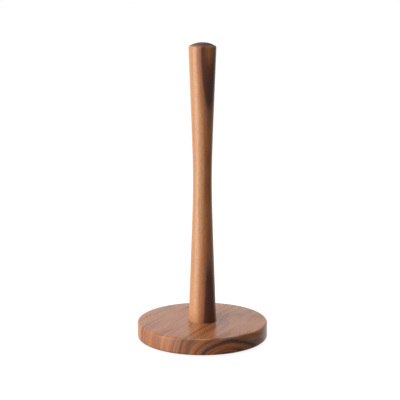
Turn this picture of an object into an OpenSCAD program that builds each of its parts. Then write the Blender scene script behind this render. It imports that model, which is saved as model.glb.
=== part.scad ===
// Upright paper towel holder: a turned wooden post, waisted at mid height, bolted to a round
// wooden base from below. The roll drops over the post and stands on the base.
// The origin is the centre of the base on the table top, +Z points up the post. Millimetres.

/* [Base disc] */
// Diameter of the base disc
base_d = 150; // [120:1:220]
// Thickness of the base disc
base_t = 19; // [15:0.5:26]
// Rounding of the disc's upper and lower edges
base_edge = 2.5; // [0.5:0.5:5]

/* [Post] */
// Height of the post's top above the disc's upper face
post_h = 319; // [230:1:400]
// Diameter where the post meets the disc
post_foot_d = 32; // [26:0.5:44]
// Diameter at the waist
post_waist_d = 21.4; // [16:0.2:26]
// Diameter at the upper end, below the crown
post_top_d = 31.2; // [26:0.2:44]
// Height of the waist above the disc's upper face
waist_h = 164.5; // [100:0.5:200]
// How gently the two tapers turn into each other at the waist
waist_softness = 32; // [8:1:80]
// Height of the domed crown
crown_h = 5.4; // [3:0.2:10]
// Rounding between the post's side and its crown
crown_edge = 1.2; // [0.4:0.1:2.4]

/* [Housing of the post in the disc] */
// Depth to which the post's foot is let into the disc
housing_depth = 4; // [2:0.5:6]
// Gap around the foot in its housing
housing_gap = 0.15; // [0.1:0.05:0.3]

/* [Bolt] */
// Nominal thread diameter
bolt_d = 6; // [5:0.5:7]
// Length of the bolt under its head
bolt_length = 25; // [20:1:40]
// Diameter of the button head
bolt_head_d = 10.5; // [9:0.5:14]
// Height of the button head
bolt_head_h = 3.3; // [2.8:0.1:5]
// Straight rim of the button head
bolt_head_rim = 0.5; // [0.2:0.1:1]
// Diameter of the flat on the button head
bolt_head_flat_d = 6.4; // [5.6:0.2:8]
// Hexagon socket across its flats
hex_key = 4; // [3:0.5:4.5]
// Depth of the hexagon socket
hex_depth = 2.1; // [1.2:0.1:2.5]
// Chamfer on the bolt's tip
bolt_tip = 0.8; // [0.2:0.1:1.5]
// Gap around the bolt in its hole through the disc
bolt_hole_gap = 0.3; // [0.2:0.1:1]
// Depth of the bolt head below the disc's underside
head_inset = 1; // [0:0.5:2.5]

/* [Washers] */
// Diameter of the plain washer
washer_d = 18; // [14:0.5:24]
// Thickness of the plain washer
washer_t = 1.6; // [1:0.1:2.5]
// Diameter of the spring washer
spring_washer_d = 11.8; // [10:0.2:14]
// Thickness of the spring washer
spring_washer_t = 1.6; // [1:0.1:2.5]
// Width of the spring washer's split
spring_washer_split = 1.4; // [0.5:0.1:3]
// Lean of the split from the bolt's axis
spring_washer_lean = 25; // [0:1:40]
// Gap between the bolt and both washers' holes
washer_gap = 0.2; // [0.1:0.1:0.5]
// Gap around the plain washer in its counterbore
counterbore_gap = 1; // [0.5:0.5:3]

/* [Threaded insert] */
// Diameter of the insert's body
insert_d = 9; // [8:0.5:12]
// Length of the insert
insert_length = 15; // [8:0.5:20]
// Depth of the insert below the end of the post
insert_inset = 1; // [0:0.5:3]
// Height of the barbs that hold the insert in the wood
insert_barb = 0.5; // [0.2:0.1:1]
// Distance from barb to barb
insert_barb_pitch = 2.5; // [1.5:0.5:5]
// Gap between the bolt and the insert's bore
thread_gap = 0.05; // [0.02:0.01:0.1]
// Gap between the insert's body and its hole in the post
insert_hole_gap = 0.1; // [0:0.05:0.2]
// Free depth above the bolt's tip
tip_gap = 4; // [1:0.5:10]

/* [Foot pads] */
// Number of pads
pad_count = 4; // [3:1:6]
// Diameter of a pad where it is stuck to the disc
pad_d = 12; // [8:0.5:20]
// Thickness of a pad
pad_t = 2; // [1.2:0.2:5]
// Draft of a pad's side
pad_draft = 0.5; // [0:0.1:1]
// Rounding of a pad's lower edge
pad_edge = 0.5; // [0.2:0.1:1]
// Distance from the disc's rim to a pad's centre
pad_inset = 17; // [12:0.5:35]

/* [Hidden] */
$fn = 96;
bands = 56;             // straight bands that make up the post's curved side
arc_steps = 8;          // straight steps in each rounded corner
cut = 1;                // how far a cutting tool runs past the face it opens
light_wood = [0.72, 0.49, 0.31];
dark_wood = [0.62, 0.4, 0.25];
steel = [0.72, 0.73, 0.75];
brass = [0.78, 0.62, 0.3];
rubber = [0.13, 0.13, 0.13];

base_low = pad_t;
base_top = base_low + base_t;
housing_floor = base_top - housing_depth;
counterbore_depth = washer_t + spring_washer_t + bolt_head_h + head_inset;
washer_seat = base_low + counterbore_depth;
head_seat = washer_seat - washer_t - spring_washer_t;
bolt_top = head_seat + bolt_length;
insert_low = housing_floor + insert_inset;
insert_hole_top = max(insert_low + insert_length, bolt_top) + tip_gap;
shoulder_h = post_h - crown_h;
insert_barbs = floor(insert_length / insert_barb_pitch) - 1;

// Points on an arc about a centre, from one angle to another
function arc(centre, radius, from, to, steps) = [
    for (i = [0:steps])
        let (a = from + (to - from) * i / steps)
        centre + radius * [cos(a), sin(a)]
];

// Spread of a taper at a distance from the waist: it starts flat and becomes straight
function spread(distance) = sqrt(distance * distance + waist_softness * waist_softness) - waist_softness;

// Radius of the post at a height above the disc's upper face
function post_radius(h) =
    let (
        end_h = h < waist_h ? 0 : shoulder_h,
        end_d = h < waist_h ? post_foot_d : post_top_d,
        share = spread(h - waist_h) / spread(end_h - waist_h)
    )
    (post_waist_d + (end_d - post_waist_d) * share) / 2;

// Radius of the crown's sphere, which runs into the edge rounding without a corner
crown_radius = (pow(post_top_d / 2 - crown_edge, 2) + pow(crown_h, 2) - pow(crown_edge, 2))
    / (2 * (crown_h - crown_edge));
crown_angle = acos((post_top_d / 2 - crown_edge) / (crown_radius - crown_edge));

// Half outline of the post's upper end, from its shoulder to its highest point
function crown_outline() = concat(
    arc([post_top_d / 2 - crown_edge, shoulder_h], crown_edge, 0, crown_angle, arc_steps),
    arc([0, post_h - crown_radius], crown_radius, crown_angle, 90, 2 * arc_steps)
);

module ring(outer_d, inner_d, height) {
    difference() {
        cylinder(d = outer_d, h = height);
        translate([0, 0, -cut]) cylinder(d = inner_d, h = height + 2 * cut);
    }
}

module rounded_plate(diameter, height, edge) {
    rotate_extrude() {
        square([diameter / 2 - edge, height]);
        translate([0, edge]) square([diameter / 2, height - 2 * edge]);
        for (h = [edge, height - edge]) translate([diameter / 2 - edge, h]) circle(edge);
    }
}

module base_disc() {
    color(light_wood) difference() {
        translate([0, 0, base_low]) rounded_plate(base_d, base_t, base_edge);
        translate([0, 0, housing_floor])
            cylinder(d = post_foot_d + 2 * housing_gap, h = housing_depth + cut);
        translate([0, 0, base_low - cut])
            cylinder(d = bolt_d + 2 * bolt_hole_gap, h = base_t + 2 * cut);
        translate([0, 0, base_low - cut])
            cylinder(d = washer_d + 2 * counterbore_gap, h = counterbore_depth + cut);
    }
}

module post() {
    side = [for (i = [0:bands - 1]) let (h = shoulder_h * i / bands) [post_radius(h), h]];
    foot = [[0, -housing_depth], [post_foot_d / 2, -housing_depth]];
    color(dark_wood) difference() {
        translate([0, 0, base_top]) rotate_extrude() polygon(concat(foot, side, crown_outline()));
        translate([0, 0, housing_floor - cut])
            cylinder(d = insert_d + 2 * insert_hole_gap, h = insert_hole_top - housing_floor + cut);
    }
}

// Brass insert that is knocked into the end of the post: each barb's edge faces the mouth
module threaded_insert() {
    barbs = [
        for (i = [0:insert_barbs - 1], side = [0, 1, 2])
            let (h = (i + 0.5) * insert_barb_pitch)
            side == 0 ? [insert_d / 2, h]
                : side == 1 ? [insert_d / 2 + insert_barb, h] : [insert_d / 2, h + insert_barb_pitch * 0.8]
    ];
    body = concat([[0, 0], [insert_d / 2, 0]], barbs, [[insert_d / 2, insert_length], [0, insert_length]]);
    color(brass) translate([0, 0, insert_low]) difference() {
        rotate_extrude() polygon(body);
        translate([0, 0, -cut]) cylinder(d = bolt_d + 2 * thread_gap, h = insert_length + 2 * cut);
    }
}

// Half outline of the button head, its bearing face at 0 and its dome upwards
function head_outline() = concat(
    [[0, 0], [bolt_head_d / 2, 0]],
    [for (i = [0:arc_steps]) let (a = 90 * i / arc_steps) [
        bolt_head_flat_d / 2 + (bolt_head_d - bolt_head_flat_d) / 2 * cos(a),
        bolt_head_rim + (bolt_head_h - bolt_head_rim) * sin(a)
    ]],
    [[0, bolt_head_h]]
);

module bolt() {
    shank = [
        [0, 0], [bolt_d / 2, 0], [bolt_d / 2, bolt_length - bolt_tip],
        [bolt_d / 2 - bolt_tip, bolt_length], [0, bolt_length]
    ];
    color(steel) translate([0, 0, head_seat]) {
        rotate_extrude() polygon(shank);
        difference() {
            mirror([0, 0, 1]) rotate_extrude() polygon(head_outline());
            translate([0, 0, -bolt_head_h - cut])
                cylinder(d = hex_key / cos(30), h = hex_depth + cut, $fn = 6);
        }
    }
}

module plain_washer() {
    color(steel) translate([0, 0, washer_seat - washer_t])
        ring(washer_d, bolt_d + 2 * washer_gap, washer_t);
}

module spring_washer() {
    color(steel) translate([0, 0, head_seat]) difference() {
        ring(spring_washer_d, bolt_d + 2 * washer_gap, spring_washer_t);
        translate([spring_washer_d / 4, 0, spring_washer_t / 2]) rotate([spring_washer_lean, 0, 0])
            cube([spring_washer_d / 2 + cut, spring_washer_split, 4 * spring_washer_t], center = true);
    }
}

module foot_pad(i) {
    outline = concat(
        [[0, 0]],
        arc([pad_d / 2 - pad_draft - pad_edge, pad_edge], pad_edge, -90, 0, arc_steps),
        [[pad_d / 2, pad_t], [0, pad_t]]
    );
    color(rubber) rotate(360 * (i - 0.5) / pad_count) translate([base_d / 2 - pad_inset, 0, 0])
        rotate_extrude() polygon(outline);
}

base_disc();
post();
threaded_insert();
bolt();
plain_washer();
spring_washer();
for (i = [1:pad_count]) foot_pad(i);
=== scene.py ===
import math

import bmesh
import bpy
from mathutils import Matrix, Vector


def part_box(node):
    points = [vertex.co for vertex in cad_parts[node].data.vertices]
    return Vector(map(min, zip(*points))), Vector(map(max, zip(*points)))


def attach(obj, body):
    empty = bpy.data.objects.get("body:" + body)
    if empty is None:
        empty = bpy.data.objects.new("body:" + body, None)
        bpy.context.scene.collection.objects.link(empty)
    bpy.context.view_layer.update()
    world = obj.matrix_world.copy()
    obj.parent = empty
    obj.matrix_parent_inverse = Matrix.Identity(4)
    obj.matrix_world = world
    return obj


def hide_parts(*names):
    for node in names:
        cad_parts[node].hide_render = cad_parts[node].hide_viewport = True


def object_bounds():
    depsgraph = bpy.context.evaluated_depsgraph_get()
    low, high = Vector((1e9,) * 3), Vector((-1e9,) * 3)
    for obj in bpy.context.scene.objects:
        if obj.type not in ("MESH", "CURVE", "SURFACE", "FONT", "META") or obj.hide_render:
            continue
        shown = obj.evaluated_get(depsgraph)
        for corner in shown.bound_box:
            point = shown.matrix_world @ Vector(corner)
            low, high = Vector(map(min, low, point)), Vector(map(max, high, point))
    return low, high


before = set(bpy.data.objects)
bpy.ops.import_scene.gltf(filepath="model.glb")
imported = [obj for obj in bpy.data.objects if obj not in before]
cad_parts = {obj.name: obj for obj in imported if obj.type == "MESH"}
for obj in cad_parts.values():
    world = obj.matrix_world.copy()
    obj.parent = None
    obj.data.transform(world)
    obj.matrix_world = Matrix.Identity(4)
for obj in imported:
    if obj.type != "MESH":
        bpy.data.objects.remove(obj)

bl_info = {
    "name": "Paper Towel Holder",
    "version": (1, 0, 0),
    "blender": (4, 5, 0),
    "location": "3D View > Sidebar > Towel Holder",
    "description": "Finished meshes and materials for an upright paper towel holder of turned wood",
    "category": "Add Mesh",
}

MM = 0.001
SAME = 5e-6                 # two sizes closer than this are one size, in metres
SHARP = math.radians(32)    # edges steeper than this stay crisp
DISC_SIDES = 256            # points round the disc
POST_SIDES = 160
METAL_SIDES = 96
PAD_SIDES = 64
THREAD_DEPTH = 0.6134       # depth of a metric thread, as a share of its pitch
THREAD_CREST = 0.125        # width of its crest, as a share of its pitch
THREAD_FLANK = math.radians(30)    # half of the angle between its flanks
THREAD_ROWS = 20            # rows of points in one pitch
SPLIT_GAP = 22.0            # width of the cut in the spring washer, in degrees
SPLIT_SLANT = math.radians(25)     # how far that cut slants from upright
FLOOR_RADIUS = 12.0         # the stage's sizes are in metres too
KEY_PLACE, KEY_SIZE = (-1.025, -0.52, 0.2), (0.9, 0.9)
TOP_PLACE, TOP_SIZE = (-0.2, -0.15, 1.35), (0.7, 0.7)
WALL_SIDE = (-0.1, 0.95, 0.25)     # the side of the room with the bright wall
CAD_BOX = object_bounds()


# ---------------------------------------------------------------- sizes read from the frame

def rings(node, centre=(0.0, 0.0)):
    """Every (radius, height) at which a turned CAD node has points, measured from its own axis."""
    found = set()
    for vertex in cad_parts[node].data.vertices:
        radius = math.hypot(vertex.co.x - centre[0], vertex.co.y - centre[1])
        found.add((round(radius, 6), round(vertex.co.z, 6)))
    return sorted(found)


def radii_at(found, height):
    """The radii of the rings at one height."""
    return [r for r, z in found if abs(z - height) < SAME]


def heights_at(found, radius):
    """The heights of the rings of one radius."""
    return [z for r, z in found if abs(r - radius) < SAME]


def axis_of(node):
    """Where a node's own upright axis stands."""
    low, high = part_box(node)
    return ((low.x + high.x) / 2, (low.y + high.y) / 2)


# ---------------------------------------------------------------- mesh building

def arc(centre, radius, start, end, steps):
    """Points (radius, height) on an arc between two angles in degrees."""
    angles = [math.radians(start + (end - start) * i / steps) for i in range(steps + 1)]
    return [(centre[0] + radius * math.cos(a), centre[1] + radius * math.sin(a)) for a in angles]


def eased(outline, steps=4):
    """A closed outline of (radius, height, easing) with an arc of that easing in each corner."""
    points = []
    count = len(outline)
    for i, (x, z, easing) in enumerate(outline):
        here = Vector((x, z))
        if easing <= 0:
            points.append((x, z))
            continue
        before = (Vector(outline[i - 1][:2]) - here).normalized()
        after = (Vector(outline[(i + 1) % count][:2]) - here).normalized()
        half = before.angle(after) / 2
        reach = easing / math.tan(half)
        middle = here + (before + after).normalized() * (easing / math.sin(half))
        start, end = here + before * reach, here + after * reach
        for k in range(steps + 1):
            spoke = (start - middle).lerp(end - middle, k / steps).normalized()
            points.append(tuple(middle + spoke * easing))
    return points


def lathe(name, outline, segments, centre=(0.0, 0.0), closed=False, sweep=360.0, lean=0.0):
    """Turns an outline about an upright axis. A radius is a number, or a function of the angle.

    closed joins the outline's last point to its first. A sweep under 360 degrees leaves a gap with
    flat ends, and lean tilts that gap: it turns each point by lean radians per metre of height.
    """
    full = sweep >= 360.0
    columns = segments if full else segments + 1
    mesh = bmesh.new()
    rows = []
    for radius, height in outline:
        if not callable(radius) and radius < SAME:
            rows.append([mesh.verts.new((centre[0], centre[1], height))])
            continue
        row = []
        for i in range(columns):
            angle = math.radians(sweep) * i / segments
            size = radius(angle) if callable(radius) else radius
            turned = angle + lean * height
            spot = (centre[0] + size * math.cos(turned), centre[1] + size * math.sin(turned), height)
            row.append(mesh.verts.new(spot))
        rows.append(row)
    pairs = list(zip(rows, rows[1:])) + ([(rows[-1], rows[0])] if closed else [])
    for lower, upper in pairs:
        for i in range(segments):
            j = (i + 1) % columns
            below = [lower[i % len(lower)], lower[j % len(lower)]]
            above = [upper[j % len(upper)], upper[i % len(upper)]]
            mesh.faces.new(list(dict.fromkeys(below + above)))
    if not full:
        for column in (0, columns - 1):
            mesh.faces.new([row[column] for row in rows])
    bmesh.ops.recalc_face_normals(mesh, faces=mesh.faces)
    data = bpy.data.meshes.new(name)
    mesh.to_mesh(data)
    mesh.free()
    data.shade_smooth()
    data.set_sharp_from_angle(angle=SHARP)
    piece = bpy.data.objects.new(name, data)
    bpy.context.scene.collection.objects.link(piece)
    return piece


def finish_piece(piece, material, body, slot, *nodes):
    """Gives a piece its material and body, and lets it stand for its CAD nodes."""
    piece.data.materials.append(material)
    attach(piece, body)
    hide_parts(*nodes)


# ---------------------------------------------------------------- material building

class Finish:
    """One material's node tree, with short ways to add the nodes it needs."""

    def __init__(self, name):
        self.material = bpy.data.materials.new(name)
        self.material.use_nodes = True
        self.tree = self.material.node_tree
        self.shader = self.tree.nodes["Principled BSDF"]

    def add(self, kind, inputs=None, output=0, **settings):
        """Adds a node, fills its sockets with numbers or other nodes' outputs, and gives one output."""
        node = self.tree.nodes.new(kind)
        for key, value in settings.items():
            setattr(node, key, value)
        for key, value in (inputs or {}).items():
            self.fill(node.inputs[key], value)
        return node.outputs[output]

    def fill(self, socket, value):
        """Links a socket to another node's output, or sets it to a plain value."""
        if isinstance(value, bpy.types.NodeSocket):
            self.tree.links.new(value, socket)
        else:
            socket.default_value = value

    def math(self, operation, first, second=0.0):
        """One arithmetic step on one or two numbers."""
        return self.add("ShaderNodeMath", {0: first, 1: second}, operation=operation)

    def point(self):
        """The place on the piece in millimetres, in the holder's own frame."""
        spot = self.add("ShaderNodeTexCoord", output="Object")
        return self.add("ShaderNodeVectorMath", {0: spot, "Scale": 1 / MM}, operation="SCALE")

    def along(self, spot, direction, origin=(0.0, 0.0, 0.0)):
        """How far a place lies from an origin along a direction."""
        offset = self.add("ShaderNodeVectorMath", {0: spot, 1: origin}, operation="SUBTRACT")
        return self.add("ShaderNodeVectorMath", {0: offset, 1: direction}, "Value", operation="DOT_PRODUCT")

    def vector(self, x, y, z):
        """Three numbers as one vector."""
        return self.add("ShaderNodeCombineXYZ", {0: x, 1: y, 2: z})

    def noise(self, vector, scale=1.0, detail=2.0, roughness=0.5, output=0):
        """Soft random values: output 0 is one number, and output 1 is three of them."""
        inputs = {"Vector": vector, "Scale": scale, "Detail": detail, "Roughness": roughness}
        return self.add("ShaderNodeTexNoise", inputs, output)

    def remap(self, value, low, high, to_low=0.0, to_high=1.0, smooth=True):
        """Carries a value from one range to another, with soft ends."""
        kind = "SMOOTHSTEP" if smooth else "LINEAR"
        inputs = {0: value, 1: low, 2: high, 3: to_low, 4: to_high}
        return self.add("ShaderNodeMapRange", inputs, interpolation_type=kind)

    def profile(self, value, stops):
        """A number for each value, easing from one (value, number) stop to the next."""
        total = stops[0][1]
        for (low, first), (high, second) in zip(stops, stops[1:]):
            total = self.math("ADD", self.remap(value, low, high, 0.0, second - first), total)
        return total

    def blend(self, factor, first, second, kind="MIX"):
        """A mix of two colours, where a factor of 1 gives the second one in full."""
        # a mix node in colour mode has its factor, its two colours and its result at 0, 6, 7 and 2
        inputs = {0: factor, 6: first, 7: second}
        return self.add("ShaderNodeMix", inputs, 2, data_type="RGBA", blend_type=kind)

    def ramp(self, factor, stops):
        """A colour for each value, from (position, colour) stops."""
        node = self.tree.nodes.new("ShaderNodeValToRGB")
        node.color_ramp.interpolation = "EASE"
        elements = node.color_ramp.elements
        while len(elements) < len(stops):
            elements.new(0.5)
        for element, (position, colour) in zip(elements, stops):
            element.position = position
            element.color = (*colour, 1.0)
        self.tree.links.new(factor, node.inputs[0])
        return node.outputs[0]

    def bump(self, height, distance, strength):
        """Relief as deep as a distance in metres."""
        return self.add("ShaderNodeBump", {"Height": height, "Distance": distance, "Strength": strength})

    def set(self, **sockets):
        """Sets the shader's own sockets, by their names with _ for a space."""
        for key, value in sockets.items():
            self.fill(self.shader.inputs[key.replace("_", " ")], value)
        return self.material


# ---------------------------------------------------------------- settings a user would change

def colour_setting(name, description, default):
    return bpy.props.FloatVectorProperty(
        name=name, description=description, default=default, size=3, min=0.0, max=1.0, subtype="COLOR")


def length_setting(name, description, default, low=0.0, high=1.0):
    return bpy.props.FloatProperty(
        name=name, description=description, default=default, min=low, max=high,
        unit="LENGTH", subtype="DISTANCE", precision=5)


class TimberSettings(bpy.types.PropertyGroup):
    """Colours of the oiled timber, shared by the disc and the post."""

    # pale sapwood colour, which on the post lies on the key-lit left side and also stands in for a painted
    # highlight that washes the wood out there
    sap_and_highlight: colour_setting("Sapwood", "Pale wood far from the log's centre", (0.58, 0.295, 0.14))
    light: colour_setting("Light Wood", "Light bands of the timber", (0.50, 0.205, 0.085))
    middle: colour_setting("Middle Wood", "Common colour of the timber", (0.44, 0.145, 0.046))
    russet: colour_setting("Russet Wood", "Red-brown bands", (0.29, 0.075, 0.022))
    streak: colour_setting("Streaks", "Dark streaks outside the heart", (0.17, 0.047, 0.016))
    mauve: colour_setting("Mauve Wood", "Greyish bands between the growth rings", (0.27, 0.135, 0.095))
    heart: colour_setting("Heartwood", "Dark heart of the log", (0.12, 0.045, 0.027))
    end: colour_setting("End Grain", "Oil-soaked end grain", (0.055, 0.031, 0.014))
    pore: colour_setting("Pores", "Oil-dark open pores", (0.12, 0.05, 0.025))


class DiscSettings(bpy.types.PropertyGroup):
    """How the base disc is cut from its board."""

    grain_turn: bpy.props.FloatProperty(
        name="Grain Turn", description="Angle of the grain from the X axis",
        default=math.radians(65), subtype="ANGLE", unit="ROTATION")
    pith_side: length_setting(
        "Pith Aside", "Distance of the log's centre to the right of the grain line", 0.055)
    pith_depth: length_setting(
        "Pith Depth", "Depth of the log's centre below the disc's underside", 0.008)
    heart_radius: length_setting(
        "Heart Radius", "Radius of the dark heart around the log's centre", 0.025)
    oil_roughness: bpy.props.FloatProperty(
        name="Oil Roughness", description="How much the oiled disc spreads a highlight",
        default=0.24, min=0.05, max=1.0)
    mouth_easing: length_setting("Mouth Easing", "Softening of the edges of the drilled holes", 0.0003)


class PostSettings(bpy.types.PropertyGroup):
    """How the post is cut from its billet."""

    pith_side: length_setting(
        "Pith Aside", "Distance of the log's centre to the right of the post's axis", 0.016)
    pith_front: length_setting(
        "Pith in Front", "Distance of the log's centre in front of the post's axis", 0.022)
    oil_roughness: bpy.props.FloatProperty(
        name="Oil Roughness", description="How much the oiled post spreads a highlight",
        default=0.31, min=0.05, max=1.0)
    foot_easing: length_setting("Foot Easing", "Softening of the foot's lower edge", 0.0004)


class HardwareSettings(bpy.types.PropertyGroup):
    """Sizes and colours of the metal and rubber pieces."""

    pitch: length_setting("Thread Pitch", "Rise of the thread in one turn", 0.001)
    easing: length_setting("Edge Easing", "Rounding of the metal pieces' edges", 0.00015)
    zinc: colour_setting("Zinc Plating", "Colour of the bolt and the washers", (0.60, 0.61, 0.64))
    brass: colour_setting("Brass", "Colour of the threaded insert", (0.72, 0.50, 0.20))
    rubber: colour_setting("Rubber", "Colour of the foot pads", (0.022, 0.022, 0.024))
    dust: colour_setting("Dust", "Colour of the dust on the foot pads", (0.07, 0.068, 0.064))


class StageSettings(bpy.types.PropertyGroup):
    """The floor, the lights and the camera."""

    floor: colour_setting("Floor", "Colour of the floor", (0.30, 0.30, 0.30))
    floor_lift: bpy.props.FloatProperty(
        name="Floor Lift", description="How much paler the floor looks than the light that it returns",
        default=0.88)
    key_power: bpy.props.FloatProperty(
        name="Key Light", description="Power of the soft light on the left", default=16.0, unit="POWER")
    top_power: bpy.props.FloatProperty(
        name="Top Light", description="Power of the soft light overhead", default=7.0, unit="POWER")
    room: bpy.props.FloatProperty(
        name="Room Light", description="Strength of the room's own light", default=0.25)
    backdrop: bpy.props.FloatProperty(
        name="Backdrop Light", description="Extra light from the bright wall behind", default=0.64)
    camera_distance: length_setting(
        "Camera Distance", "From the middle of the disc's underside", 1.35, 0.3, 5.0)
    camera_rise: bpy.props.FloatProperty(
        name="Camera Rise", description="Angle at which the disc is looked down on",
        default=math.radians(17.38), subtype="ANGLE", unit="ROTATION")
    camera_pitch: bpy.props.FloatProperty(
        name="Camera Pitch", description="Angle of the lens below level",
        default=math.radians(10.69), subtype="ANGLE", unit="ROTATION")
    camera_aside: length_setting("Camera Aside", "How far the camera stands to the left", 0.0027)
    lens: bpy.props.FloatProperty(
        name="Lens", description="Focal length on a 36 mm wide sensor", default=103.9, unit="CAMERA")


# ---------------------------------------------------------------- finishes

class Cut:
    """How a piece is cut from its log and finished. Lengths are in millimetres.

    fibre: direction of the grain
    across: two directions across the grain, called side and depth
    pith: a point on the log's centre line
    wander: drift of the rings, as stretch along the grain, scale and reach
    ragged: how far a colour's edge strays from its ring
    swells: bulges of the rings, as (side, along the grain, half width, half length, rise)
    heart_edge: radius of the dark heart, as (place along the grain, radius) stops
    heart_shell: depth of the darkest wood, counted in from the heart's edge
    halo: width of the mauve wood outside the heart's edge
    sap_and_highlight_span: how far outside the heart the pale wood starts, and where it is complete; on the
    post the pale wood lies on the lit left side and is partly a painted highlight
    ring_gap, ring_line: growth in a year, and strength of the line between years
    figure: strength of the colour bands
    streaks: dark streaks, as (inner radius, outer radius, strength)
    streak_fade: where along the grain the streaks start to fade, and where they end
    tone: brightness of the whole piece
    oil_roughness, gloss: spread and strength of a highlight on the oiled wood
    relief: strength of the fibres' and pores' relief
    end_facing: how square to the grain end grain starts, and where it is complete
    end_dark, end_dull: how much of its own colour and extra roughness end grain gets
    """

    swells = ()
    streaks = ()
    streak_fade = (0.0, 1.0)

    def __init__(self, **values):
        for name, value in values.items():
            setattr(self, name, value)


class LogPlace:
    """Where a point of a piece lies in the log it is sawn from, in millimetres, as node sockets.

    side and depth lie across the log from its pith, and grain along it. radius counts out from the
    pith through the wandering growth rings, ring is the same with ragged edges, and heartward is
    how far outside the dark heart's edge the point is. bands carries the noise for colour bands.
    """

    def __init__(self, finish, cut):
        spot = finish.point()
        self.side = finish.along(spot, cut.across[0], cut.pith)
        self.depth = finish.along(spot, cut.across[1], cut.pith)
        self.grain = finish.along(spot, cut.fibre, cut.pith)
        stretch, scale, reach = cut.wander
        slow = finish.vector(self.side, self.depth, finish.math("MULTIPLY", self.grain, stretch))
        drift = finish.noise(slow, scale=scale, detail=2.0, output=1)
        drift = finish.add("ShaderNodeVectorMath", {0: drift, 1: (0.5, 0.5, 0.5)}, operation="SUBTRACT")
        drift = finish.add("ShaderNodeVectorMath", {0: drift, "Scale": reach}, operation="SCALE")
        flat = finish.vector(self.side, self.depth, 0.0)
        flat = finish.add("ShaderNodeVectorMath", {0: flat, 1: drift}, operation="ADD")
        flat = finish.add("ShaderNodeVectorMath", {0: flat, 1: (1.0, 1.0, 0.0)}, operation="MULTIPLY")
        self.radius = finish.add("ShaderNodeVectorMath", {0: flat}, "Value", operation="LENGTH")
        for side, grain, width, length, rise in cut.swells:
            off_side = finish.math("DIVIDE", finish.math("SUBTRACT", self.side, side), width)
            off_grain = finish.math("DIVIDE", finish.math("SUBTRACT", self.grain, grain), length)
            off = finish.vector(off_side, off_grain, 0.0)
            off = finish.add("ShaderNodeVectorMath", {0: off}, "Value", operation="LENGTH")
            self.radius = finish.math("SUBTRACT", self.radius, finish.remap(off, 0.0, 1.0, rise, 0.0))
        ragged = finish.noise(slow, scale=scale * 4, detail=3.0)
        ragged = finish.math("MULTIPLY", finish.math("SUBTRACT", ragged, 0.5), cut.ragged)
        self.ring = finish.math("ADD", self.radius, ragged)
        self.heartward = finish.math("SUBTRACT", self.ring, finish.profile(self.grain, cut.heart_edge))
        self.bands = finish.vector(self.radius, finish.math("MULTIPLY", self.grain, 0.05), 0.0)


def ring_colour(finish, wood, cut, log):
    """Broad colour bands that follow the rings, paler wood away from the heart (on the post's lit left side
    partly a painted highlight), and a thin line for each year.
    """
    band = finish.noise(log.bands, scale=0.16, detail=3.0, roughness=0.6)
    figure = finish.ramp(band, [
        (0.36, tuple(wood.russet)), (0.43, tuple(wood.middle)), (0.50, tuple(wood.light)),
        (0.55, tuple(wood.middle)), (0.61, tuple(wood.mauve))])
    colour = finish.blend(cut.figure, (*wood.middle, 1.0), figure)
    # paler wood away from the heart: real sapwood, and on the post's lit left side also a painted highlight
    colour = finish.blend(finish.remap(log.heartward, *cut.sap_and_highlight_span, 0.0, 0.8), colour, (*wood.sap_and_highlight, 1.0))
    year = finish.math("DIVIDE", log.radius, cut.ring_gap)
    year = finish.math("FRACT", finish.math("ADD", year, finish.math("MULTIPLY", band, 2.0)))
    faintness = finish.noise(log.bands, scale=0.31, detail=1.0)
    line = finish.math("MULTIPLY", finish.remap(year, 0.55, 0.97),
                       finish.remap(faintness, 0.35, 0.75, 0.0, cut.ring_line))
    return finish.blend(line, colour, (*wood.russet, 1.0))


def heart_colour(finish, wood, cut, log, colour):
    """The dark heart with a mauve edge and lighter wood inside it, and the dark streaks around it."""
    for low, high, strength in cut.streaks:
        middle = (low + high) / 2
        share = finish.profile(log.ring, [(low, 0.0), (middle, strength), (high, 0.0)])
        share = finish.math("MULTIPLY", share, finish.remap(log.grain, *cut.streak_fade, 1.0, 0.0))
        colour = finish.blend(share, colour, (*wood.streak, 1.0))
    halo = finish.remap(log.heartward, 0.0, cut.halo, 0.65, 0.0)
    colour = finish.blend(halo, colour, (*wood.mauve, 1.0))
    inner = finish.noise(log.bands, scale=0.33, detail=2.0)
    inner = finish.ramp(inner, [
        (0.37, tuple(wood.heart)), (0.46, tuple(wood.russet)),
        (0.58, tuple(wood.middle)), (0.72, tuple(wood.light))])
    shell = cut.heart_shell
    inner = finish.blend(finish.remap(log.heartward, -shell, -shell * 0.5), inner, (*wood.heart, 1.0))
    return finish.blend(finish.remap(log.heartward, -2.5, 0.0, 1.0, 0.0), colour, inner)


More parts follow.
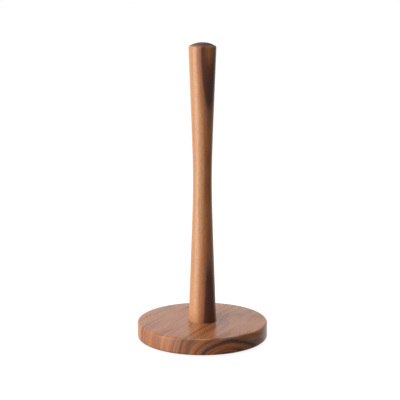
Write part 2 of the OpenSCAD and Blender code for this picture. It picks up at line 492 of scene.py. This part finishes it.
def timber(name, cut):
    """Oiled hardwood as a solid block: growth rings, heart, fibres, pores and thirsty end grain."""
    wood = bpy.context.scene.holder_timber
    finish = Finish(name)
    log = LogPlace(finish, cut)
    colour = heart_colour(finish, wood, cut, log, ring_colour(finish, wood, cut, log))

    # fibres: fine light and dark hairs along the grain
    hair_place = finish.vector(log.side, log.depth, finish.math("MULTIPLY", log.grain, 0.05))
    hair = finish.noise(hair_place, scale=2.6, detail=3.0, roughness=0.6)
    shade = finish.remap(hair, 0.25, 0.75, 0.88 * cut.tone, 1.12 * cut.tone, smooth=False)
    colour = finish.blend(1.0, colour, finish.vector(shade, shade, shade), "MULTIPLY")

    # pores: short dark dashes, dots where the grain comes end on
    pore_place = finish.vector(log.side, log.depth, finish.math("MULTIPLY", log.grain, 0.13))
    pore = finish.add("ShaderNodeTexVoronoi", {"Vector": pore_place, "Scale": 1.7}, "Distance")
    pore = finish.remap(pore, 0.14, 0.30, 1.0, 0.0)
    colour = finish.blend(finish.math("MULTIPLY", pore, 0.6), colour, (*wood.pore, 1.0))

    # end grain drinks more oil: darker and duller
    normal = finish.add("ShaderNodeTexCoord", output="Normal")
    facing = finish.math("ABSOLUTE", finish.along(normal, cut.fibre))
    end_grain = finish.remap(facing, *cut.end_facing)
    colour = finish.blend(finish.math("MULTIPLY", end_grain, cut.end_dark), colour, (*wood.end, 1.0))

    least, most = cut.oil_roughness - 0.05, cut.oil_roughness + 0.06
    rough = finish.remap(hair, 0.2, 0.8, least, most, smooth=False)
    rough = finish.math("ADD", rough, finish.math("MULTIPLY", end_grain, cut.end_dull))
    rough = finish.math("ADD", rough, finish.math("MULTIPLY", pore, 0.1))
    relief = finish.math("SUBTRACT", finish.math("MULTIPLY", hair, 0.25), pore)
    return finish.set(Base_Color=colour, Roughness=rough, Specular_IOR_Level=cut.gloss, IOR=1.47,
                      Normal=finish.bump(relief, 0.1 * MM, cut.relief))


def metal(name, colour, roughness, turning):
    """Bright metal with smudges and faint marks, finer up the piece as turning rises."""
    finish = Finish(name)
    spot = finish.point()
    marks = finish.add("ShaderNodeVectorMath", {0: spot, 1: (1.0, 1.0, turning)}, operation="MULTIPLY")
    mark = finish.noise(marks, scale=1.4, detail=3.0)
    smudge = finish.noise(spot, scale=0.35, detail=2.0)
    shade = finish.remap(smudge, 0.3, 0.7, 0.82, 1.08)
    tint = finish.blend(1.0, (*colour, 1.0), finish.vector(shade, shade, shade), "MULTIPLY")
    rough = finish.remap(smudge, 0.3, 0.7, roughness - 0.05, roughness + 0.1)
    return finish.set(Base_Color=tint, Roughness=rough, Metallic=1.0,
                      Normal=finish.bump(mark, 0.02 * MM, 0.5))


def rubber(name, colour, dust_colour):
    """Dull moulded rubber with a fine grain and a little dust."""
    finish = Finish(name)
    spot = finish.point()
    grain = finish.noise(spot, scale=4.5, detail=2.0)
    dust = finish.remap(finish.noise(spot, scale=0.5, detail=3.0), 0.5, 0.75, 0.0, 0.35)
    tint = finish.blend(dust, (*colour, 1.0), (*dust_colour, 1.0))
    rough = finish.remap(grain, 0.3, 0.7, 0.62, 0.78)
    return finish.set(Base_Color=tint, Roughness=rough, Normal=finish.bump(grain, 0.04 * MM, 0.5))


# ---------------------------------------------------------------- pieces

class HOLDER_OT_base_disc(bpy.types.Operator):
    """Turns the base disc, with its housing, its bolt hole and its counterbore"""

    bl_idname = "holder.base_disc"
    bl_label = "Base Disc"

    def execute(self, context):
        board = context.scene.holder_disc
        low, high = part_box("base_disc")
        found = rings("base_disc")
        rim_edge = high.x - max(radii_at(found, high.z))
        housing = min(radii_at(found, high.z))
        floor = min(heights_at(found, housing))
        counterbore = min(radii_at(found, low.z))
        ceiling = max(heights_at(found, counterbore))
        hole = found[0][0]
        soft = board.mouth_easing
        outline = eased([
            (hole, ceiling, soft), (counterbore, ceiling, 0), (counterbore, low.z, soft),
            (high.x, low.z, rim_edge), (high.x, high.z, rim_edge),
            (housing, high.z, soft), (housing, floor, 0), (hole, floor, soft),
        ], steps=8)
        disc = lathe("turned_disc", outline, DISC_SIDES, closed=True)
        turn = board.grain_turn
        side = (math.sin(turn), -math.cos(turn), 0.0)
        heart = board.heart_radius / MM
        material = timber("oiled_disc_timber", Cut(
            fibre=(math.cos(turn), math.sin(turn), 0.0),
            across=(side, (0.0, 0.0, 1.0)),
            pith=(side[0] * board.pith_side / MM, side[1] * board.pith_side / MM,
                  (low.z - board.pith_depth) / MM),
            wander=(0.35, 0.016, 14.0),
            ragged=9.0,
            swells=((-31.0, 27.0, 16.0, 34.0, 8.0),),
            heart_edge=((-65.0, heart + 1.5), (-38.0, heart), (-15.0, heart - 5.0)),
            heart_shell=5.5,
            halo=2.5,
            sap_and_highlight_span=(60.0, 220.0),
            ring_gap=3.4,
            ring_line=0.4,
            figure=1.0,
            streaks=((31.0, 53.0, 0.15), (37.0, 43.0, 0.55), (44.5, 50.5, 0.8)),
            streak_fade=(-15.0, 40.0),
            tone=0.9,
            oil_roughness=board.oil_roughness,
            gloss=0.5,
            relief=0.3,
            end_facing=(0.66, 0.79),
            end_dark=0.06,
            end_dull=0.16))
        finish_piece(disc, material, "base", "base_wood", "base_disc")
        return {"FINISHED"}


class HOLDER_OT_post(bpy.types.Operator):
    """Turns the waisted post, with its domed crown and the hole for the insert"""

    bl_idname = "holder.post"
    bl_label = "Post"

    def execute(self, context):
        billet = context.scene.holder_post
        low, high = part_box("post")
        found = rings("post")
        bore = min(radii_at(found, low.z))
        bore_top = max(heights_at(found, bore))
        side = {}
        for radius, height in found:
            if height > low.z + SAME:
                side[height] = max(radius, side.get(height, 0.0))
        outer = [(radius, height) for height, radius in sorted(side.items()) if radius > bore + SAME]
        crown = [point for point in outer if point[1] < high.z - SAME]
        foot_radius = max(radii_at(found, low.z))
        soft = billet.foot_easing
        foot = arc((foot_radius - soft, low.z + soft), soft, -90, 0, 4)
        outline = [(0.0, bore_top), (bore, bore_top), (bore, low.z + soft), (bore + soft, low.z)]
        outline += foot + crown + [(0.0, high.z)]
        post = lathe("turned_post", outline, POST_SIDES)
        material = timber("oiled_post_timber", Cut(
            fibre=(0.0, 0.0, 1.0),
            across=((1.0, 0.0, 0.0), (0.0, 1.0, 0.0)),
            pith=(billet.pith_side / MM, -billet.pith_front / MM, 0.0),
            wander=(0.05, 0.03, 3.0),
            ragged=3.0,
            heart_edge=((20.0, 17.0), (60.0, 16.3), (120.0, 14.0), (230.0, 13.8), (330.0, 21.0)),
            heart_shell=9.8,
            halo=2.0,
            # the pale wood falls on the lit left side of the post, where it is partly a painted highlight
            sap_and_highlight_span=(1.5, 7.0),
            ring_gap=2.6,
            ring_line=0.35,
            figure=0.6,
            tone=1.02,
            oil_roughness=billet.oil_roughness,
            gloss=0.36,
            relief=0.3,
            end_facing=(0.74, 0.93),
            end_dark=0.82,
            end_dull=0.4))
        finish_piece(post, material, "post", "post_wood", "post")
        return {"FINISHED"}


def thread_radius(crest, pitch):
    """The radius of a right-hand thread at a height, as a function of the angle."""
    depth = THREAD_DEPTH * pitch
    crest_flat = THREAD_CREST * pitch
    flank = depth * math.tan(THREAD_FLANK)

    def at_height(height):
        def at_angle(angle):
            place = (height / pitch - angle / (2 * math.pi)) % 1.0
            off = abs(place - 0.5) * pitch
            fall = min(max((off - crest_flat / 2) / flank, 0.0), 1.0)
            return crest - depth * fall
        return at_angle
    return at_height


def thread_rows(low, high, pitch):
    """Heights from low to high, close enough together to show a thread of this pitch."""
    count = max(1, round((high - low) / (pitch / THREAD_ROWS)))
    return [low + (high - low) * i / count for i in range(count + 1)]


def faded(radius_of, height, plain, share):
    """A thread's radius that runs out into a plain one as share falls from 1 to 0."""
    return lambda angle: plain + (radius_of(height)(angle) - plain) * share


class HOLDER_OT_bolt(bpy.types.Operator):
    """Makes the button head bolt with its hexagon socket and its helical thread"""

    bl_idname = "holder.bolt"
    bl_label = "Bolt"

    def execute(self, context):
        kit = context.scene.holder_hardware
        low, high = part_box("bolt")
        found = rings("bolt")
        head = high.x
        seat = max(heights_at(found, head))
        rim = min(heights_at(found, head))
        flat = max(radii_at(found, low.z))
        corner = min(radii_at(found, low.z))
        socket_top = max(heights_at(found, corner))
        crest = max(radius for radius, height in found if height > (seat + high.z) / 2)
        tip = min(radius for radius in radii_at(found, high.z) if radius > SAME)
        soft = kit.easing

        def hexagon(size):
            half = math.radians(30)
            return lambda angle: size * math.cos(half) / math.cos((angle % (2 * half)) - half)

        # the socket, whose floor is a little narrower than its sides, and its bevelled mouth
        outline = [
            (0.0, socket_top), (hexagon(corner * 0.97), socket_top), (hexagon(corner), socket_top - soft),
            (hexagon(corner), low.z + 2 * soft), (hexagon(corner + 2 * soft), low.z), (flat, low.z)]
        # the rounded head, a quarter of an ellipse from its flat end to its rim
        steps = 10
        for i in range(1, steps + 1):
            angle = math.radians(90 * (steps - i) / steps)
            radius = flat + (head - flat) * math.cos(angle)
            outline.append((radius, rim - (rim - low.z) * math.sin(angle)))
        outline += arc((head - soft, seat - soft), soft, 0, 90, 4)
        outline += arc((crest + 2 * soft, seat + 2 * soft), 2 * soft, -90, -180, 4)
        # the thread, which starts one turn above the head and ends in a chamfer
        thread = thread_radius(crest, kit.pitch)
        start, end = seat + kit.pitch, high.z - (crest - tip)
        for height in thread_rows(start, end, kit.pitch):
            share = min(1.0, (height - start) / kit.pitch)
            outline.append((faded(thread, height, crest, share), height))
        for height in thread_rows(end, high.z, kit.pitch)[1:]:
            limit = crest - (height - end)

            def chamfered(angle, height=height, limit=limit):
                return min(thread(height)(angle), limit)
            outline.append((chamfered, height))
        outline.append((0.0, high.z))
        bolt = lathe("socket_bolt", outline, METAL_SIDES)
        material = metal("bright_zinc_bolt", tuple(kit.zinc), roughness=0.3, turning=0.2)
        finish_piece(bolt, material, "bolt", "zinc_steel", "bolt")
        return {"FINISHED"}


class HOLDER_OT_insert(bpy.types.Operator):
    """Makes the barbed brass insert with the helical thread in its bore"""

    bl_idname = "holder.insert"
    bl_label = "Threaded Insert"

    def execute(self, context):
        kit = context.scene.holder_hardware
        low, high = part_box("threaded_insert")
        found = rings("threaded_insert")
        bore = found[0][0]
        soft = kit.easing
        outer = {}
        for radius, height in found:
            outer.setdefault(height, set()).add(radius)
        outline = []
        for height in sorted(outer):
            sizes = sorted(radius for radius in outer[height] if radius > bore + SAME)
            outline += [(radius, height) for radius in sizes]
        body = outline[0][0]
        foot = [(body - soft, low.z), (body, low.z + soft)]
        top = [(body, high.z - soft), (body - soft, high.z)]
        outline = foot + outline[1:-1] + top
        thread = thread_radius(bore, kit.pitch)
        lead = kit.pitch * 0.6    # the thread runs out over this length at each end
        for height in reversed(thread_rows(low.z, high.z, kit.pitch)):
            share = min(1.0, (height - low.z) / lead, (high.z - height) / lead)
            outline.append((faded(thread, height, bore, share), height))
        insert = lathe("barbed_insert", outline, METAL_SIDES, closed=True)
        material = metal("turned_brass", tuple(kit.brass), roughness=0.26, turning=3.0)
        finish_piece(insert, material, "post", "brass", "threaded_insert")
        return {"FINISHED"}


class HOLDER_OT_washers(bpy.types.Operator):
    """Makes the plain washer and the split spring washer under the bolt head"""

    bl_idname = "holder.washers"
    bl_label = "Washers"

    def execute(self, context):
        kit = context.scene.holder_hardware
        soft, zinc = kit.easing, tuple(kit.zinc)
        low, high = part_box("plain_washer")
        hole = rings("plain_washer")[0][0]
        rim = high.x
        corners = [(hole, low.z, soft), (rim, low.z, 2 * soft), (rim, high.z, soft), (hole, high.z, soft)]
        washer = lathe("flat_washer", eased(corners), METAL_SIDES, closed=True)
        material = metal("bright_zinc_washer", zinc, roughness=0.34, turning=0.4)
        finish_piece(washer, material, "base", "zinc_steel", "plain_washer")

        low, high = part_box("spring_washer")
        found = rings("spring_washer")
        hole, rim = found[0][0], found[-1][0]
        corners = [(hole, low.z, soft), (rim, low.z, soft), (rim, high.z, soft), (hole, high.z, soft)]
        lean = math.tan(SPLIT_SLANT) / ((hole + rim) / 2)
        ring = lathe("split_washer", eased(corners), 90, closed=True, sweep=360.0 - SPLIT_GAP, lean=lean)
        back = math.radians(SPLIT_GAP / 2) - lean * (low.z + high.z) / 2
        ring.data.transform(Matrix.Rotation(back, 4, "Z"))
        material = metal("bright_zinc_spring", zinc, roughness=0.38, turning=0.4)
        finish_piece(ring, material, "base", "zinc_steel", "spring_washer")
        return {"FINISHED"}


class HOLDER_OT_foot_pads(bpy.types.Operator):
    """Moulds the rubber pads under the disc"""

    bl_idname = "holder.foot_pads"
    bl_label = "Foot Pads"

    def execute(self, context):
        kit = context.scene.holder_hardware
        material = rubber("moulded_rubber", tuple(kit.rubber), tuple(kit.dust))
        pads = sorted(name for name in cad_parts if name.startswith("foot_pad_"))
        for node in pads:
            low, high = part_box(node)
            centre = axis_of(node)
            found = rings(node, centre)
            sole = max(radii_at(found, low.z))
            rim = max(radii_at(found, high.z))
            edge, dish = rim * 0.06, rim * 0.55    # rounding of the top edge, and radius of the dish
            outline = [(0.0, low.z + edge * 0.5), (dish - edge, low.z + edge * 0.5), (dish, low.z)]
            outline += [point for point in found if point[0] > sole - SAME and point[1] < high.z - SAME]
            outline += arc((rim - edge, high.z - edge), edge, 0, 90, 4) + [(0.0, high.z)]
            pad = lathe("moulded_" + node, outline, PAD_SIDES, centre=centre)
            finish_piece(pad, material, "base", "pad_rubber", node)
        return {"FINISHED"}


def soft_light(name, place, target, size, power):
    """A large rectangular lamp that faces a point."""
    lamp = bpy.data.lights.new(name, "AREA")
    lamp.shape = "RECTANGLE"
    lamp.size, lamp.size_y = size
    lamp.energy = power
    light = bpy.data.objects.new(name, lamp)
    light.location = place
    light.rotation_euler = (Vector(target) - Vector(place)).to_track_quat("-Z", "Y").to_euler()
    bpy.context.scene.collection.objects.link(light)


class HOLDER_OT_stage(bpy.types.Operator):
    """Sets out the pale floor, the soft lights and the camera"""

    bl_idname = "holder.stage"
    bl_label = "Stage"

    def execute(self, context):
        scene = context.scene
        stage = scene.holder_stage
        self.floor(stage)
        self.room(scene, stage)
        crown = CAD_BOX[1][2]
        soft_light("key_light", KEY_PLACE, (0.0, 0.0, crown / 2), KEY_SIZE, stage.key_power)
        soft_light("top_light", TOP_PLACE, (0.0, 0.0, crown), TOP_SIZE, stage.top_power)
        self.camera(scene, stage)
        scene.view_settings.view_transform = "Standard"
        return {"FINISHED"}

    def floor(self, stage):
        """A wide pale floor that is not there when seen from below."""
        mesh = bmesh.new()
        bmesh.ops.create_circle(mesh, cap_ends=True, segments=96, radius=FLOOR_RADIUS)
        data = bpy.data.meshes.new("floor")
        mesh.to_mesh(data)
        mesh.free()
        floor = bpy.data.objects.new("floor", data)
        bpy.context.scene.collection.objects.link(floor)
        floor.visible_diffuse = floor.visible_glossy = floor.visible_shadow = False
        finish = Finish("pale_floor")
        above = finish.math("SUBTRACT", 1.0, finish.add("ShaderNodeNewGeometry", output="Backfacing"))
        data.materials.append(finish.set(
            Base_Color=(*stage.floor, 1.0), Roughness=0.9, Specular_IOR_Level=0.1, Alpha=above,
            Emission_Color=(1.0, 1.0, 1.0, 1.0), Emission_Strength=stage.floor_lift))

    def room(self, scene, stage):
        """A plain white surround for the eye, and a dimmer one with a bright side behind for the light."""
        world = bpy.data.worlds.new("room")
        world.use_nodes = True
        scene.world = world
        tree = world.node_tree
        tree.nodes.clear()
        place = tree.nodes.new("ShaderNodeTexCoord")
        facing = tree.nodes.new("ShaderNodeVectorMath")
        facing.operation = "DOT_PRODUCT"
        facing.inputs[1].default_value = Vector(WALL_SIDE).normalized()
        spread = tree.nodes.new("ShaderNodeMapRange")
        spread.interpolation_type = "SMOOTHSTEP"
        for index, value in enumerate((0.2, 0.85, stage.room, stage.room + stage.backdrop), 1):
            spread.inputs[index].default_value = value
        seen = tree.nodes.new("ShaderNodeLightPath")
        strength = tree.nodes.new("ShaderNodeMix")
        strength.inputs[3].default_value = 1.0
        background = tree.nodes.new("ShaderNodeBackground")
        background.inputs["Color"].default_value = (1.0, 1.0, 1.0, 1.0)
        output = tree.nodes.new("ShaderNodeOutputWorld")
        tree.links.new(place.outputs["Generated"], facing.inputs[0])
        tree.links.new(facing.outputs["Value"], spread.inputs[0])
        tree.links.new(seen.outputs["Is Camera Ray"], strength.inputs[0])
        tree.links.new(spread.outputs[0], strength.inputs[2])
        tree.links.new(strength.outputs[0], background.inputs["Strength"])
        tree.links.new(background.outputs[0], output.inputs["Surface"])

    def camera(self, scene, stage):
        """A long lens in front, looking slightly down."""
        lens = bpy.data.cameras.new("camera")
        lens.sensor_width = 36.0
        lens.lens = stage.lens
        camera = bpy.data.objects.new("camera", lens)
        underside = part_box("base_disc")[0].z
        reach, rise = stage.camera_distance, stage.camera_rise
        height = underside + reach * math.sin(rise)
        camera.location = (-stage.camera_aside, -reach * math.cos(rise), height)
        camera.rotation_euler = (math.pi / 2 - stage.camera_pitch, 0.0, 0.0)
        scene.collection.objects.link(camera)
        scene.camera = camera


class HOLDER_PT_panel(bpy.types.Panel):
    """The holder's settings and the buttons that build it"""

    bl_idname = "HOLDER_PT_panel"
    bl_label = "Towel Holder"
    bl_space_type = "VIEW_3D"
    bl_region_type = "UI"
    bl_category = "Towel Holder"

    def draw(self, context):
        for operator in OPERATORS:
            self.layout.operator(operator.bl_idname)
        for group in SETTINGS:
            column = self.layout.column()
            column.label(text=group[0].removeprefix("holder_").title())
            settings = getattr(context.scene, group[0])
            for key in group[1].__annotations__:
                column.prop(settings, key)


SETTINGS = [
    ("holder_timber", TimberSettings),
    ("holder_disc", DiscSettings),
    ("holder_post", PostSettings),
    ("holder_hardware", HardwareSettings),
    ("holder_stage", StageSettings),
]
OPERATORS = [
    HOLDER_OT_base_disc,
    HOLDER_OT_post,
    HOLDER_OT_insert,
    HOLDER_OT_bolt,
    HOLDER_OT_washers,
    HOLDER_OT_foot_pads,
    HOLDER_OT_stage,
]


def register():
    for name, group in SETTINGS:
        bpy.utils.register_class(group)
        setattr(bpy.types.Scene, name, bpy.props.PointerProperty(type=group))
    for item in [*OPERATORS, HOLDER_PT_panel]:
        bpy.utils.register_class(item)


def unregister():
    for item in reversed([*OPERATORS, HOLDER_PT_panel]):
        bpy.utils.unregister_class(item)
    for name, group in reversed(SETTINGS):
        delattr(bpy.types.Scene, name)
        bpy.utils.unregister_class(group)


def main():
    register()
    bpy.ops.holder.base_disc()
    bpy.ops.holder.post()
    bpy.ops.holder.insert()
    bpy.ops.holder.bolt()
    bpy.ops.holder.washers()
    bpy.ops.holder.foot_pads()
    bpy.ops.holder.stage()


if __name__ == "__main__":
    main()
